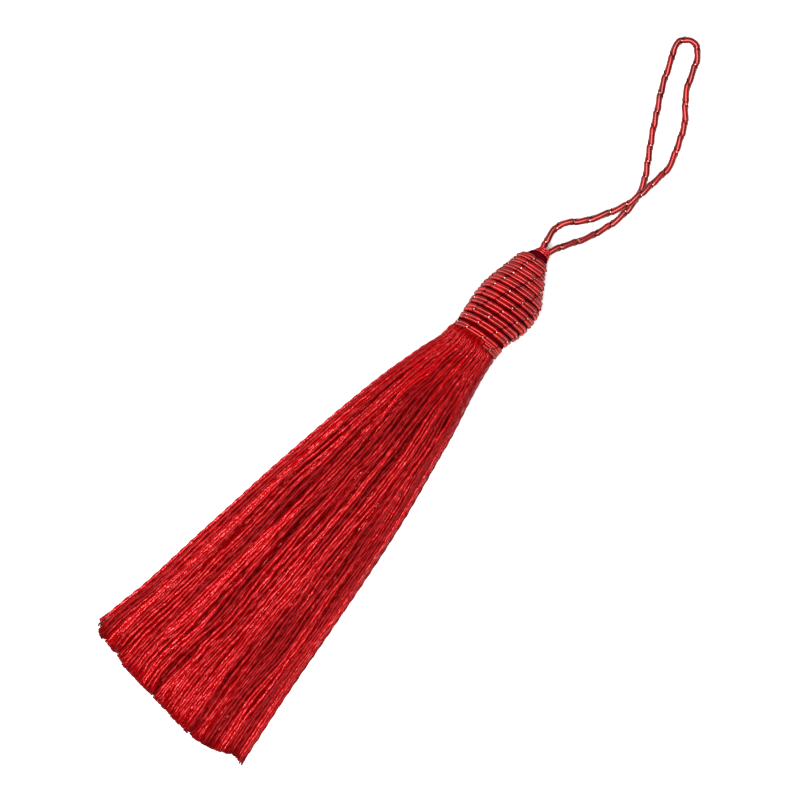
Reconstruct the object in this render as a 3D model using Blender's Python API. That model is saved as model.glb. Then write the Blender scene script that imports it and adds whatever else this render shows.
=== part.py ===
"""Hanging tassel of glossy red yarn, lying on a flat surface.

Frame: the origin is the flat spot under the wound head, +X runs along the tassel towards the loop,
+Y is left seen from above, +Z is up. All sizes are in metres.
"""

import math

import bmesh
import bpy
from mathutils import Vector
from mathutils.geometry import interpolate_bezier

MM = 0.001

# Driving dimensions
CORD_D = 1.35 * MM  # cord of the loop
CORD_LAY = 7.0 * MM  # one full turn of its two plies
ROW_PITCH = 1.62 * MM  # one row of winding on the head
NOSE_DOWN = math.radians(8.0)  # the head leans on its belly, collar end low
HEAD_YAW = math.radians(2.5)  # and its rows slant a little to the left
NECK = Vector((-9.3 * MM, 0.68 * MM, 6.62 * MM))  # middle of the bundle under the neck binding

# Each table is in mm, and its first row names its columns.

# The head: sideways shift of its centre and its radius, by distance from the neck
HEAD = (
    ("from_neck", "shift", "radius"),
    (2.0, -0.48, 5.02),
    (3.2, -0.52, 5.25),
    (4.8, -0.68, 5.62),
    (6.8, -0.75, 5.84),
    (9.0, -0.70, 5.82),
    (11.3, -0.60, 5.42),
    (13.1, -0.30, 4.72),
    (14.6, -0.02, 4.12),
    (16.0, 0.42, 3.42),
    (17.3, 0.70, 2.72),
    (18.8, 0.38, 2.05),
    (19.6, 0.30, 1.80),
)
HEAD_START = 2.3 * MM
HEAD_ROWS = 10
RINGS_PER_ROW = 4
RIB_DEPTH = 0.24 * MM
HEAD_SIDES = 24

NECK_BINDING_RADIUS = 4.5 * MM
NECK_BINDING_THICK = 0.96 * MM  # drawn tight, so it is flattened
NECK_BINDING_WIDE = 1.24 * MM
NECK_BINDING_TURNS = 1.42
NECK_BINDING_PITCH = 1.36 * MM
NECK_BINDING_FROM_NECK = -0.15 * MM
NECK_BINDING_TURN = -0.2  # where its end lies, in radians from the top
NECK_BINDING_SIDES = 8
NECK_BINDING_STEPS = 22  # in one turn
TUCKED_END = 0.45  # its ends taper to this share
TAPER_STEP = 0.2  # and fill out by this much at each step

COLLAR_FROM_NECK = 19.75 * MM
COLLAR_LENGTH = 0.95 * MM
COLLAR_RADIUS = 1.68 * MM
COLLAR_RIBS = 3
COLLAR_SHIFT = 0.25 * MM
COLLAR_SIDES = 16
COLLAR_GROOVE = 0.92  # radius between two ribs, as a share

# The skirt: its left and right edge, the height of the bundle and its lift off the surface
SKIRT = (
    ("from_neck", "left", "right", "height", "lift"),
    (0.0, 3.35, -3.35, 6.7, 3.27),
    (1.9, 4.90, -5.25, 9.7, 1.75),
    (3.6, 5.05, -5.60, 9.9, 1.40),
    (7.1, 6.10, -6.50, 9.4, 0.70),
    (17.8, 8.75, -8.85, 7.1, 0.00),
    (35.6, 11.90, -11.95, 5.6, 0.00),
    (57.0, 15.00, -14.30, 4.7, 0.00),
    (71.2, 16.85, -15.75, 4.4, 0.00),
    (87.0, 18.20, -17.60, 4.1, 0.00),
)
SKIRT_LENGTH = 86.3 * MM
CUT_SLANT = 1.4 * MM  # the left edge is cut this much shorter than the middle
CUT_BOW = 2.0 * MM  # and both edges this much
UNDER_SHORTER = 2.4 * MM  # the lowest yarns end this much before the top ones
YARNS = 200
SETTLES = 0.6 * MM  # a yarn whose middle comes this low lies on the surface
SETTLE_FROM = 3.0 * MM  # from here the round bundle starts to flatten
SETTLE_OVER = 22.0 * MM  # and after this much more its underside lies on the surface
EDGE_ACROSS = 0.93  # yarns further out than this share lie as deep as those at it
YARN = (
    ("from_neck", "width"),
    (0.0, 0.25),
    (8.0, 0.34),
    (30.0, 0.40),
    (55.0, 0.43),
    (87.0, 0.52),
)
YARN_BENDS = (0.0, 1.9, 8.0, 18.0, 31.0, 54.0)  # mm from the neck, starting inside the plug
SHOWS = 0.22  # yarns this near the outside of the bundle, as a share, have four sides
WITHIN = 0.99  # yarns stand inside this share of the bundle
PLUG_RADIUS = 3.6 * MM
PLUG_ENDS = (-0.9 * MM, 1.1 * MM)
PLUG_SIDES = 24
UNEVEN = 0.35 * MM  # how much the cut ends differ
UNEVEN_ACROSS = 37.0  # how fast that changes from yarn to yarn, in radians over half the skirt's width
UNEVEN_UP = 91.0  # and over half its height
STRAY_OUT = 0.9 * MM  # the outermost yarn on the left swings out at its end
GOLDEN = (1 + math.sqrt(5)) / 2

# The loop, point by point along the middle of its cord
LOOP = (
    ("x", "y", "height"),
    (11.6, 1.55, 3.75),
    (13.0, 1.85, 3.60),
    (14.7, 2.00, 3.40),
    (16.5, 1.60, 3.20),
    (18.0, 0.40, 3.05),
    (19.5, -1.05, 2.90),
    (21.3, -2.30, 2.75),
    (26.0, -4.80, 2.48),
    (29.9, -5.80, 2.38),
    (32.3, -6.15, 2.05),
    (35.8, -6.55, 1.20),
    (37.5, -6.40, 0.90),
    (39.5, -5.75, 0.74),
    (43.3, -4.30, 0.72),
    (45.0, -3.35, 0.72),
    (48.3, -0.75, 0.72),
    (50.4, 0.35, 0.72),
    (53.0, 1.30, 0.72),
    (55.0, 2.15, 0.72),
    (56.4, 3.45, 0.72),
    (56.6, 5.05, 0.72),
    (55.5, 6.35, 0.72),
    (53.7, 6.40, 0.72),
    (51.7, 5.50, 0.72),
    (47.2, 3.70, 0.72),
    (42.8, 1.40, 0.72),
    (39.0, -0.65, 0.72),
    (35.1, -3.00, 0.72),
    (33.1, -4.20, 0.72),
    (31.3, -5.00, 0.72),
    (29.4, -5.60, 0.72),
    (27.0, -5.85, 0.72),
    (25.0, -5.75, 0.72),
    (23.0, -5.40, 0.75),
    (20.4, -4.60, 0.95),
    (17.8, -3.55, 1.60),
    (15.6, -2.35, 2.55),
    (13.5, -1.05, 3.35),
    (11.6, -0.10, 3.72),
)
LOOP_SIDES = 8
LOOP_STEP = 0.85 * MM
LOOP_WAIST = 0.14  # how much narrower the cord is across its two plies, as a share
ROUTE_POINTS = 13  # points read from the curve between two of the route's own points

SHARP_EDGE = math.radians(50.0)  # faces that meet at more than this stay crisp

RED_YARN = (0.47, 0.010, 0.014, 1.0)
RED_CORD = (0.38, 0.012, 0.014, 1.0)
YARN_ROUGHNESS = 0.36
CORD_ROUGHNESS = 0.4


def clear_scene():
    for old in list(bpy.data.objects):
        bpy.data.objects.remove(old)


def silk(name, colour, roughness):
    """Glossy dyed thread."""
    material = bpy.data.materials.new(name)
    material.use_nodes = True
    shader = material.node_tree.nodes["Principled BSDF"]
    shader.inputs["Base Color"].default_value = colour
    shader.inputs["Roughness"].default_value = roughness
    shader.inputs["Metallic"].default_value = 0.0
    material.diffuse_color = colour
    return material


def place(name, mesh, material):
    mesh.materials.append(material)
    mesh.shade_smooth()
    mesh.set_sharp_from_angle(angle=SHARP_EDGE)
    piece = bpy.data.objects.new(name, mesh)
    bpy.context.scene.collection.objects.link(piece)
    return piece


def to_mesh(name, shape):
    bmesh.ops.recalc_face_normals(shape, faces=shape.faces)
    mesh = bpy.data.meshes.new(name)
    shape.to_mesh(mesh)
    shape.free()
    return mesh


def read_table(table, place, column):
    """A column of a table at a place, on a smooth curve through its rows."""
    which = table[0].index(column)
    rows = [(row[0], row[which]) for row in table[1:]]
    x = min(max(place / MM, rows[0][0]), rows[-1][0])
    k = 0
    while k < len(rows) - 2 and x > rows[k + 1][0]:
        k += 1
    before, a, b, after = (rows[min(max(k + i, 0), len(rows) - 1)] for i in (-1, 0, 1, 2))
    width = b[0] - a[0]
    t = (x - a[0]) / width
    slope_a = (b[1] - before[1]) / (b[0] - before[0]) * width
    slope_b = (after[1] - a[1]) / (after[0] - a[0]) * width
    value = (2 * t**3 - 3 * t**2 + 1) * a[1] + (t**3 - 2 * t**2 + t) * slope_a
    value += (3 * t**2 - 2 * t**3) * b[1] + (t**3 - t**2) * slope_b
    return value * MM


def smooth_route(table, step):
    """Points about one step apart on a smooth curve through a route's own points."""
    knots = [Vector(row) * MM for row in table[1:]]
    fine = []
    for k in range(len(knots) - 1):
        before, a, b, after = (knots[min(max(k + i, 0), len(knots) - 1)] for i in (-1, 0, 1, 2))
        leave = a + (b - before) / 6
        arrive = b - (after - a) / 6
        fine += interpolate_bezier(a, leave, arrive, b, ROUTE_POINTS)[:-1]
    fine.append(knots[-1])
    lengths = [0.0]
    for a, b in zip(fine, fine[1:]):
        lengths.append(lengths[-1] + (b - a).length)
    count = round(lengths[-1] / step)
    points = []
    k = 0
    for i in range(count + 1):
        along = lengths[-1] * i / count
        while k < len(fine) - 2 and lengths[k + 1] < along:
            k += 1
        share = (along - lengths[k]) / (lengths[k + 1] - lengths[k])
        points.append(fine[k].lerp(fine[k + 1], share))
    return points


def head_point(along, shift, out, turn):
    """A point of the head: along its axis from the neck, then out from the axis at an angle from the top."""
    axis_x = NECK.x + along * math.cos(NOSE_DOWN)
    axis_z = NECK.z - along * math.sin(NOSE_DOWN)
    side = Vector((-math.sin(HEAD_YAW), math.cos(HEAD_YAW), 0))
    up = Vector((math.sin(NOSE_DOWN), 0, math.cos(NOSE_DOWN)))
    centre = Vector((axis_x, NECK.y + shift, axis_z))
    return centre + side * out * math.sin(turn) + up * out * math.cos(turn)


def cap(shape, loop, middle):
    """Closes a loop of vertices with a fan round one point."""
    hub = shape.verts.new(middle)
    for a, b in zip(loop, loop[1:] + loop[:1]):
        shape.faces.new((a, b, hub))


def skin(shape, rings, end_a, end_b):
    """Joins rings of equal count into a tube and closes its ends."""
    for low, high in zip(rings, rings[1:]):
        for i in range(len(low)):
            j = (i + 1) % len(low)
            shape.faces.new((low[i], low[j], high[j], high[i]))
    cap(shape, rings[0], end_a)
    cap(shape, rings[-1], end_b)


def build_head(material):
    """The wound head: rows run as one helix, each row a rib, flat where it rests."""
    shape = bmesh.new()
    rings = []
    for row in range(HEAD_ROWS * RINGS_PER_ROW + 1):
        in_row = (row % RINGS_PER_ROW) / RINGS_PER_ROW
        groove = RIB_DEPTH * (1 - math.sin(math.pi * in_row))
        ring = []
        for i in range(HEAD_SIDES):
            share = i / HEAD_SIDES
            along = HEAD_START + ROW_PITCH * (row / RINGS_PER_ROW + share - 0.5)
            shift = read_table(HEAD, along, "shift")
            out = read_table(HEAD, along, "radius") - groove
            point = head_point(along, shift, out, math.pi - 2 * math.pi * share)
            point.z = max(point.z, 0.0)
            ring.append(shape.verts.new(point))
        rings.append(ring)
    last = len(rings) - 1
    for row in range(last):
        for i in range(HEAD_SIDES - 1):
            low, high = rings[row], rings[row + 1]
            shape.faces.new((low[i], low[i + 1], high[i + 1], high[i]))
    # The end of each turn meets the start of the turn one row on.
    for row in range(last - RINGS_PER_ROW):
        ends = (rings[row][-1], rings[row + RINGS_PER_ROW][0])
        next_ends = (rings[row + 1][-1], rings[row + RINGS_PER_ROW + 1][0])
        shape.faces.new((ends[0], ends[1], next_ends[1], next_ends[0]))
    start_step = [rings[row][0] for row in range(RINGS_PER_ROW, 0, -1)]
    end_step = [rings[row][-1] for row in range(last - 1, last - RINGS_PER_ROW - 1, -1)]
    first = HEAD_START
    final = HEAD_START + ROW_PITCH * HEAD_ROWS
    cap(shape, rings[0] + start_step, head_point(first, read_table(HEAD, first, "shift"), 0, 0))
    cap(shape, rings[-1] + end_step, head_point(final, read_table(HEAD, final, "shift"), 0, 0))
    bmesh.ops.triangulate(shape, faces=shape.faces)
    return place("head_winding", to_mesh("head_winding", shape), material)


def build_neck_binding(material):
    """The last turns of cord, drawn tight over the yarn roots."""
    shape = bmesh.new()
    steps = round(NECK_BINDING_STEPS * NECK_BINDING_TURNS)
    rings = []
    middles = []
    for k in range(steps + 1):
        turned = NECK_BINDING_TURNS * k / steps
        turn = NECK_BINDING_TURN - 2 * math.pi * turned
        along = NECK_BINDING_FROM_NECK + NECK_BINDING_PITCH * turned
        taper = min(1.0, TUCKED_END + TAPER_STEP * min(k, steps - k))
        ring = []
        for i in range(NECK_BINDING_SIDES):
            angle = 2 * math.pi * i / NECK_BINDING_SIDES
            out = NECK_BINDING_RADIUS + taper * NECK_BINDING_THICK / 2 * math.cos(angle)
            ahead = along + taper * NECK_BINDING_WIDE / 2 * math.sin(angle)
            ring.append(shape.verts.new(head_point(ahead, 0, out, turn)))
        rings.append(ring)
        middles.append(head_point(along, 0, NECK_BINDING_RADIUS, turn))
    skin(shape, rings, middles[0], middles[-1])
    return place("neck_binding", to_mesh("neck_binding", shape), material)


def build_collar(material):
    """The fine turns that hold the two legs of the loop together."""
    shape = bmesh.new()
    rings = []
    steps = 2 * COLLAR_RIBS
    turns = [2 * math.pi * i / COLLAR_SIDES for i in range(COLLAR_SIDES)]
    for k in range(steps + 1):
        along = COLLAR_FROM_NECK + COLLAR_LENGTH * k / steps
        out = COLLAR_RADIUS * (COLLAR_GROOVE if k % 2 == 0 else 1.0)
        rings.append([shape.verts.new(head_point(along, COLLAR_SHIFT, out, turn)) for turn in turns])
    end_a = head_point(COLLAR_FROM_NECK, COLLAR_SHIFT, 0, 0)
    end_b = head_point(COLLAR_FROM_NECK + COLLAR_LENGTH, COLLAR_SHIFT, 0, 0)
    skin(shape, rings, end_a, end_b)
    return place("top_binding", to_mesh("top_binding", shape), material)


def build_loop(material):
    """The hanging cord, two plies twisted, from the collar round and back to it."""
    shape = bmesh.new()
    points = smooth_route(LOOP, LOOP_STEP)
    rings = []
    for k, point in enumerate(points):
        ahead = points[min(k + 1, len(points) - 1)] - points[max(k - 1, 0)]
        side = Vector((0, 0, 1)).cross(ahead).normalized()
        up = ahead.cross(side).normalized()
        twist = -2 * math.pi * k * LOOP_STEP / CORD_LAY
        ring = []
        for i in range(LOOP_SIDES):
            angle = 2 * math.pi * i / LOOP_SIDES
            out = CORD_D / 2 * (1 - LOOP_WAIST + LOOP_WAIST * math.cos(2 * angle))
            turn = angle + twist
            ring.append(shape.verts.new(point + side * out * math.cos(turn) + up * out * math.sin(turn)))
        rings.append(ring)
    skin(shape, rings, points[0], points[-1])
    return place("hanging_loop", to_mesh("hanging_loop", shape), material)


def yarn_places():
    """Even places in a unit disc that stay apart however the disc is flattened into a fan.

    They are a lattice whose two columns are m + n g and m - n / g, with g the golden ratio.
    """
    reach = math.sqrt(YARNS * math.sqrt(5) / math.pi)
    span = range(-math.ceil(reach) * 2, math.ceil(reach) * 2 + 1)
    places = []
    for m in span:
        for n in span:
            across = (m + 0.5 + (n + 0.5) * GOLDEN) / reach
            height = (m + 0.5 - (n + 0.5) / GOLDEN) / reach
            if math.hypot(across, height) < WITHIN:
                places.append((across, height))
    widest = max(across for across, height in places)
    return sorted((across / widest, height) for across, height in places)


def yarn_centre(across, height, from_neck, width):
    """Where a yarn lies at a distance from the neck: the disc flattens into a fan on the surface."""
    left, right, deep, lift = (
        read_table(SKIRT, from_neck, column) for column in ("left", "right", "height", "lift")
    )
    settled = min(1.0, max(0.0, (from_neck - SETTLE_FROM) / SETTLE_OVER))
    belly = math.sqrt(1 - min(abs(across), EDGE_ACROSS) ** 2)
    y = (left + right) / 2 + across * (left - right - width) / 2
    sag = settled * (1 - belly)
    z = lift + width / 2 + (deep - width) / 2 * (1 + height - sag)
    lift = max(lift, 0.0)
    if z < lift + SETTLES:
        z = lift + width / 2
    return y, z


def build_yarn(shape, across, height):
    """One yarn, with a flat underside: four sides where it shows, three inside the bundle."""
    belly = math.sqrt(max(0.0, 1 - across**2))
    # How deep in the bundle the yarn lies: 0 at the top, 1 underneath
    under = (1 - height / max(belly, SHOWS)) / 2
    under = min(max(under, 0.0), 1.0)
    length = SKIRT_LENGTH - CUT_SLANT * across - CUT_BOW * across**2 - UNDER_SHORTER * under
    length += UNEVEN * math.sin(UNEVEN_ACROSS * across + UNEVEN_UP * height)
    outer = abs(height) > belly - SHOWS
    rings = []
    for from_neck in [bend * MM for bend in YARN_BENDS] + [length]:
        width = read_table(YARN, from_neck, "width")
        y, z = yarn_centre(across, height, from_neck, width)
        if across == 1 and from_neck == length:
            y += STRAY_OUT
        middle = Vector((NECK.x - from_neck, NECK.y + y, z))
        half = width / 2
        if outer:
            corners = ((-half, -half), (half, -half), (half, half), (-half, half))
        else:
            corners = ((-half, -half), (half, -half), (0, half))
        rings.append([shape.verts.new(middle + Vector((0, a, b))) for a, b in corners])
    for low, high in zip(rings, rings[1:]):
        for i in range(len(low)):
            j = (i + 1) % len(low)
            shape.faces.new((low[i], low[j], high[j], high[i]))
    shape.faces.new(rings[0])
    shape.faces.new(rings[-1])


def build_skirt(material):
    """Yarns that stand apart, fused only into the round backing inside the neck."""
    shape = bmesh.new()
    for across, height in yarn_places():
        build_yarn(shape, across, height)
    yarns = place("yarns_guide", to_mesh("yarns_guide", shape), material)
    yarns.hide_render = True
    yarns.display_type = "WIRE"

    shape = bmesh.new()
    rings = []
    turns = [2 * math.pi * i / PLUG_SIDES for i in range(PLUG_SIDES)]
    for along in PLUG_ENDS:
        rings.append([shape.verts.new(head_point(along, 0, PLUG_RADIUS, turn)) for turn in turns])
    skin(shape, rings, head_point(PLUG_ENDS[0], 0, 0, 0), head_point(PLUG_ENDS[1], 0, 0, 0))
    skirt = place("yarn_skirt", to_mesh("yarn_skirt", shape), material)
    fuse = skirt.modifiers.new("fuse_roots", "BOOLEAN")
    fuse.operation = "UNION"
    fuse.object = yarns
    return skirt


def main():
    clear_scene()
    yarn = silk("red_silk_yarn", RED_YARN, YARN_ROUGHNESS)
    cord = silk("red_silk_cord", RED_CORD, CORD_ROUGHNESS)
    build_skirt(yarn)
    build_head(cord)
    build_neck_binding(cord)
    build_collar(cord)
    build_loop(cord)


main()
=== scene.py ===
import math
import random

import bmesh
import bpy
from bpy.props import FloatProperty, FloatVectorProperty, IntProperty, PointerProperty
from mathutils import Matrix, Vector, noise


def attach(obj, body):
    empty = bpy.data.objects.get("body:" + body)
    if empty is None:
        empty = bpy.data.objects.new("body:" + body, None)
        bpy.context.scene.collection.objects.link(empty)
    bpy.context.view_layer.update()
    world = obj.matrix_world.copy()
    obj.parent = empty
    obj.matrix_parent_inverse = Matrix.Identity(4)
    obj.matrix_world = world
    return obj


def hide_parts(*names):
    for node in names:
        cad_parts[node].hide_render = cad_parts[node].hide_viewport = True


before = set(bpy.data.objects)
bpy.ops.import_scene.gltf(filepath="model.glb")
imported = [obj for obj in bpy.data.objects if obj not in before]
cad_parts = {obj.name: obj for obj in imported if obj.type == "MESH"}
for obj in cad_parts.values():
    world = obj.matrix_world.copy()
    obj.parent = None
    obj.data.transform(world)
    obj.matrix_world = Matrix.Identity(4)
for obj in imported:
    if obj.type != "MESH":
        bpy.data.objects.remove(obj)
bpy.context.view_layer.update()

bl_info = {
    "name": "Silk Tassel",
    "version": (1, 0, 0),
    "blender": (4, 5, 0),
    "location": "3D View > Sidebar > Tassel",
    "description": "Makes a hanging tassel: twisted silk yarns, a wound cord head and a corded loop",
    "category": "Object",
}

MM = 0.001
BODY = "root"

# The head leans on its belly, and its axis runs through the middle of the yarn roots.
NOSE_DOWN = math.radians(8.0)
HEAD_YAW = math.radians(2.5)
NECK = Vector((-9.3 * MM, 0.68 * MM, 6.62 * MM))
# Over this stretch of the axis the head's tip nods a little more than the rest, by a share of its radius.
TIP = (17.5 * MM, 19 * MM)
TIP_NOD = 0.25

# Each table is in mm, and its first row names its columns.
HEAD = (
    ("from_neck", "shift", "radius"),
    (2.0, -0.50, 5.02),
    (3.2, -0.56, 5.25),
    (4.8, -0.72, 5.64),
    (6.8, -0.80, 5.90),
    (9.0, -0.78, 5.92),
    (11.3, -0.70, 5.52),
    (13.1, -0.32, 4.76),
    (14.6, -0.06, 4.18),
    (16.0, 0.28, 3.54),
    (17.3, 0.45, 2.94),
    (18.8, 0.33, 2.15),
    (19.6, 0.30, 1.80),
)
SKIRT = (
    ("from_neck", "left", "right", "height", "lift"),
    (0.0, 4.05, -4.05, 8.2, 2.55),
    (0.7, 4.60, -5.35, 9.4, 1.95),
    (1.9, 4.72, -5.60, 9.8, 1.60),
    (3.6, 4.95, -5.85, 9.8, 1.40),
    (7.1, 6.10, -6.50, 9.4, 0.70),
    (17.8, 8.75, -8.85, 7.1, 0.00),
    (35.6, 11.90, -11.95, 5.6, 0.00),
    (57.0, 15.00, -14.30, 4.7, 0.00),
    (71.2, 16.85, -15.75, 4.4, 0.00),
    (76.0, 17.80, -16.35, 4.3, 0.00),
    (80.0, 18.40, -16.85, 4.2, 0.00),
    (87.0, 18.70, -17.60, 4.1, 0.00),
)
# Where each row of the winding lies on the top of the head
WINDING = (
    ("row", "from_neck"),
    (0.0, 1.55),
    (0.5, 2.42),
    (2.5, 5.91),
    (5.5, 11.31),
    (7.5, 14.45),
    (9.5, 17.46),
    (10.2, 18.40),
)
YARN = (
    ("from_neck", "width"),
    (0.0, 0.42),
    (2.0, 0.48),
    (8.0, 0.60),
    (30.0, 0.70),
    (87.0, 0.75),
)
# Where yarns part: how far across, its drift by the far end, and how wide the parting opens
PARTINGS = (
    ("across", "drift", "starts", "ends", "opens"),
    (0.17, -0.19, 11.0, 31.0, 0.46),
    (-0.28, -0.03, 25.0, 37.0, 0.52),
    (-0.64, -0.08, 11.0, 19.0, 0.42),
    (-0.50, 0.02, 38.0, 52.0, 0.40),
    (-0.47, -0.06, 56.0, 68.0, 0.48),
    (0.22, -0.04, 60.0, 71.0, 0.40),
    (0.08, 0.08, 73.0, 84.0, 0.38),
    (-0.80, 0.05, 66.0, 80.0, 0.30),
)
# The loop, point by point along the middle of its cord
LOOP = (
    ("x", "y", "height"),
    (11.6, 1.55, 3.75),
    (13.0, 1.85, 3.60),
    (14.7, 2.00, 3.40),
    (16.5, 1.60, 3.20),
    (18.0, 0.40, 3.05),
    (19.5, -1.05, 2.90),
    (21.3, -2.30, 2.75),
    (26.0, -4.80, 2.48),
    (29.9, -5.80, 2.38),
    (32.3, -6.15, 2.05),
    (35.8, -6.55, 1.20),
    (37.5, -6.40, 0.90),
    (39.5, -5.75, 0.74),
    (43.3, -4.30, 0.72),
    (45.0, -3.35, 0.72),
    (48.3, -0.75, 0.72),
    (50.4, 0.35, 0.72),
    (53.0, 1.30, 0.72),
    (55.0, 2.15, 0.72),
    (56.4, 3.45, 0.72),
    (56.6, 5.05, 0.72),
    (55.5, 6.35, 0.72),
    (53.7, 6.40, 0.72),
    (51.7, 5.50, 0.72),
    (47.2, 3.70, 0.72),
    (42.8, 1.40, 0.72),
    (39.0, -0.65, 0.72),
    (35.1, -3.00, 0.72),
    (33.1, -4.20, 0.72),
    (31.3, -5.00, 0.72),
    (29.4, -5.60, 0.72),
    (27.0, -5.85, 0.72),
    (25.0, -5.75, 0.72),
    (23.0, -5.40, 0.75),
    (20.4, -4.60, 0.95),
    (17.8, -3.55, 1.60),
    (15.6, -2.35, 2.55),
    (13.5, -1.05, 3.35),
    (11.6, -0.10, 3.72),
)
# How far the yarns reach from the neck, from the right edge to the left edge
CUT = (
    ("across", "reach"),
    (-1.00, 86.2),
    (-0.90, 84.7),
    (-0.80, 85.4),
    (-0.66, 86.3),
    (-0.45, 86.8),
    (-0.25, 86.6),
    (0.00, 86.0),
    (0.28, 85.5),
    (0.50, 85.1),
    (0.62, 84.5),
    (0.72, 84.1),
    (0.85, 83.8),
    (0.94, 83.1),
    (1.00, 81.4),
)
# A loose filament of a cut yarn: how far past the cut, how far out of the yarn as a share, and its radius
FILAMENT = (
    ("past_cut", "out", "radius"),
    (-3.8, 0.50, 0.08),
    (-2.4, 0.62, 0.10),
    (-1.1, 0.80, 0.12),
    (0.0, 1.00, 0.12),
)
FILAMENTS = 10

# Waves of the yarns: how far, how fast they change for each mm across and along the skirt, and a layer
# of noise. A clump waves as one, and a yarn by itself where nothing changes across.
WAVES = {
    "clump_aside": (0.60, 0.45, 0.055, 3.1),
    "yarn_aside": (0.30, 0, 0.10, 7.7),
    "clump_up": (0.90, 0.50, 0.035, 21.4),
    "yarn_up": (0.30, 0, 0.12, 40.2),
    "squeezed_aside": (0.40, 0, 0.30, 80.3),
    "squeezed_up": (0.40, 0, 0.38, 90.1),
    "dye": (0.35, 0, 0.06, 60.5),
}
# What chance gives each yarn, within limits in mm: how much longer it is cut, how far it strays by half
# its length, and how much higher it lies
SPARE = (-0.06, 0.06)
STRAY = (-0.45, 0.45)
RISE = (-0.16, 0.20)
# How pale it is dyed, and its lay as a share of the usual one
PALE = (0.36, 1.0)
LAY_SHARE = (0.75, 1.35)

# Stretches of the skirt, in mm from the neck, over which the bundle settles on the table, and its yarns
# come free of the binding, bend after it, lose most of their bends, and look less deeply dyed
SETTLES = (1, 28)
COMES_FREE = (2, 14)
BENDS = (0.3, 3)
STRAIGHTENS = (6, 16)
STRAIGHTENED = 0.6
CLEARS = (1, 14)
# Under the binding a yarn is twisted harder, by this many turns, and it loosens over about 10 mm.
HARDER, LOOSENS = 1.2, 10
# The outermost yarn on the left splays out over its last few mm.
SPLAY, SPLAY_LENGTH = 0.4 * MM, 5 * MM
# Yarns start inside the binding and end just short of the cut, where their filaments go on.
ROOT, SHORT = -1.0 * MM, 0.5 * MM
# Painted shade: how much darker a yarn's mark is made between clumps, near the neck, at the rims and
# underneath, and where across the skirt its rims are
PAINTED_SHADE = {"between_clumps": 0.6, "neck": 0.05, "right_rim": 0.3, "left_rim": 0.1, "underneath": 0.3}
RIGHT_RIM = (0.5, 0.9)
LEFT_RIM = (0.9, 0.97)

# Yarns move aside up to about 1.3 mm from a parting, and dip into it within 0.65 mm of it. The dip is a
# share of how wide it opens, and at most 0.7 mm. The lower the power, the blunter a parting's ends.
ASIDE_REACH, DIP_REACH = 1.3, 0.65
DIP_SHARE, DEEPEST_DIP = 1.2, 0.7
PARTING_POWER = 0.7
# Small partings that chance adds: where the first is and how much of the skirt they take up, their
# drift, and the rest in mm
SMALL_PARTINGS = 44
SMALL_ACROSS = (-0.79, 1.56)
SMALL_DRIFT = (-0.06, 0.06)
SMALL_START = (0, 62)
SMALL_LENGTH = (22, 56)
SMALL_OPENS = (0.14, 0.42)

# A cord: how far silk wraps stand out of a ply, how short the pinch under the metal thread is, how much
# steeper that crosses the outside, and as shares how near the middle it may come and how deep it beds
WRAP_RIDGE = 0.014
PINCH_POWER = 40
STEEPER = 0.75
NEAREST = 0.8
BEDDED = 0.35
# A painted glint of the foil: how wide it is across the cord, how much it swells the thread, and where it
# may be on a wound cord
GLINT_WIDTH = 0.22
GLINT_SWELL = 0.4
WOUND_SPOTS = (-0.45, 0.45)
GOLDEN = (1 + math.sqrt(5)) / 2


def linear(colour):
    """An sRGB hex colour as linear RGBA."""
    channels = [int(colour[i : i + 2], 16) / 255 for i in (1, 3, 5)]
    return tuple(c / 12.92 if c <= 0.04045 else ((c + 0.055) / 1.055) ** 2.4 for c in channels) + (1.0,)


def size(name, description, mm):
    """A length that the user may change, given in mm."""
    return FloatProperty(
        name=name, description=description, default=mm * MM, min=0.0, precision=5, unit="LENGTH"
    )


def distance(name, description, mm):
    """A length that the user may change and make negative, given in mm."""
    return FloatProperty(name=name, description=description, default=mm * MM, unit="LENGTH")


def colour(name, description, hex_value):
    """A colour that the user may change."""
    value = linear(hex_value)
    return FloatVectorProperty(
        name=name, description=description, default=value, size=4, min=0.0, max=1.0, subtype="COLOR"
    )


def share(name, description, value):
    """A share from 0 to 1 that the user may change."""
    return FloatProperty(
        name=name, description=description, default=value, min=0.0, max=1.0, subtype="FACTOR"
    )


class TasselSkirtSettings(bpy.types.PropertyGroup):
    yarns: IntProperty(name="Yarns", description="Yarns in the skirt", default=245, min=20, max=600)
    longer: distance("Longer", "How much longer than usual the yarns are cut", 0.0)
    lay: size("Twist", "Length of one full turn of a yarn's three plies", 8.4)
    waist: share("Waist", "How deep the grooves between a yarn's plies are", 0.28)
    under: size("Under", "How much sooner the lowest yarns end than the top ones", 1.0)
    colour: colour("Colour", "Dye of the yarns", "#7E0205")
    seed: IntProperty(name="Seed", description="Changes how the yarns wave", default=7, min=0)


class TasselCordSettings(bpy.types.PropertyGroup):
    diameter: size("Diameter", "Thickness of the loop's cord", 1.33)
    lay: size("Twist", "Length of one full turn of the cord's two plies", 6.6)
    ply: size("Ply", "Radius of one ply of the loop's cord", 0.56)
    wraps: size("Wraps", "Spacing of the silk wraps round a ply", 0.42)
    thread: size("Metal thread", "Radius of the metal thread round the cord", 0.085)
    colour: colour("Colour", "Dye of the cord", "#8A070B")
    gold: colour("Gold", "Foil of the metal thread", "#FFC4AE")
    glints: share("Glints", "How many of the foil's turns catch the light", 0.8)
    seed: IntProperty(name="Seed", description="Changes which turns of foil glint", default=3, min=0)


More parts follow.
